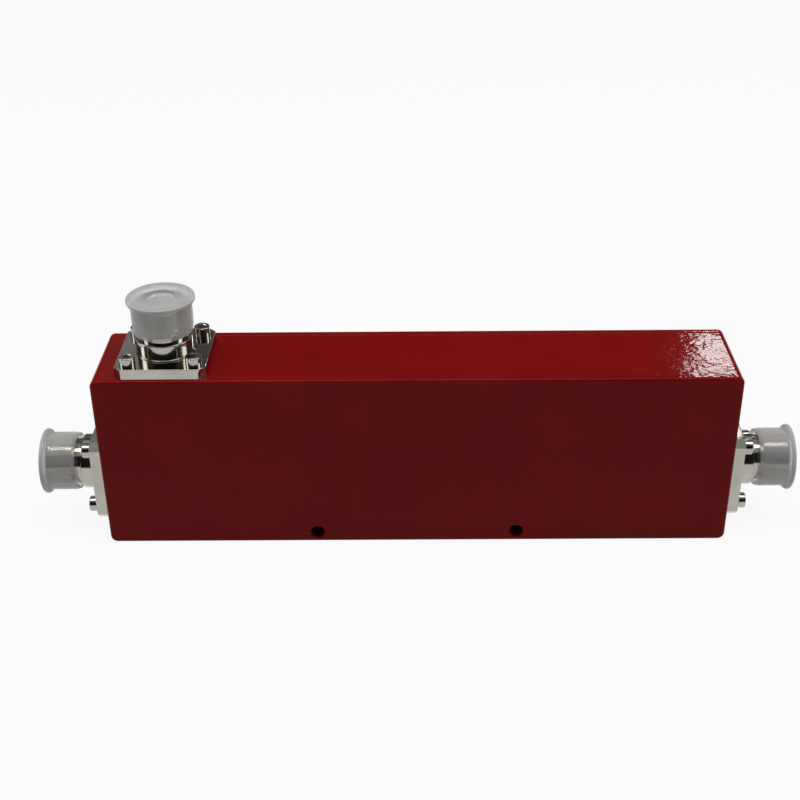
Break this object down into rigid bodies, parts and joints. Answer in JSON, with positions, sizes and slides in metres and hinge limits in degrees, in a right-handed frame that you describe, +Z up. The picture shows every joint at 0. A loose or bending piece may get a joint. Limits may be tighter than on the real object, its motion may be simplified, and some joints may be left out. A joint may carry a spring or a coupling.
{
  "type": "directional coupler",
  "caption": "Red painted box-shaped directional coupler with flanged threaded coaxial connectors on its ends and top, each closed by a milky push-on dust cap.",
  "frame": {"origin": "middle of the bottom face of the housing and its rear cover", "axes": "+X along the length from the input to the output connector, -Y out of the plain front face, +Z up towards the top connector"},
  "size_m": [0.2186, 0.0304, 0.0733],
  "materials": {
    "red_paint": "glossy red enamel with slight orange peel",
    "nickel_plate": "bright nickel plate",
    "screw_steel": "plain stainless steel",
    "silver_plate": "silver-plated brass",
    "gold_plate": "gold-plated brass",
    "white_insulator": "white fluoropolymer",
    "milky_cap": "milky translucent soft polyethylene",
    "ceramic": "white ceramic"
  },
  "bodies": {
    "root": {"housing": "red_paint", "rear_cover": "red_paint", "cover_screws": "screw_steel", "main_line": "silver_plate", "main_line_support_left": "white_insulator", "main_line_support_right": "white_insulator", "coupled_line": "silver_plate", "coupled_line_support_left": "white_insulator", "coupled_line_support_right": "white_insulator", "load_flange": "nickel_plate", "load_resistor": "ceramic", "load_tab": "silver_plate", "load_screw": "screw_steel", "input_connector_shell": "nickel_plate", "input_insulator": "white_insulator", "input_contact": "gold_plate", "input_flange_screws": "screw_steel", "input_dust_cap": "milky_cap", "output_connector_shell": "nickel_plate", "output_insulator": "white_insulator", "output_contact": "gold_plate", "output_flange_screws": "screw_steel", "output_dust_cap": "milky_cap", "coupled_connector_shell": "nickel_plate", "coupled_insulator": "white_insulator", "coupled_contact": "gold_plate", "coupled_flange_screws": "screw_steel", "coupled_dust_cap": "milky_cap"}
  },
  "joints": []
}
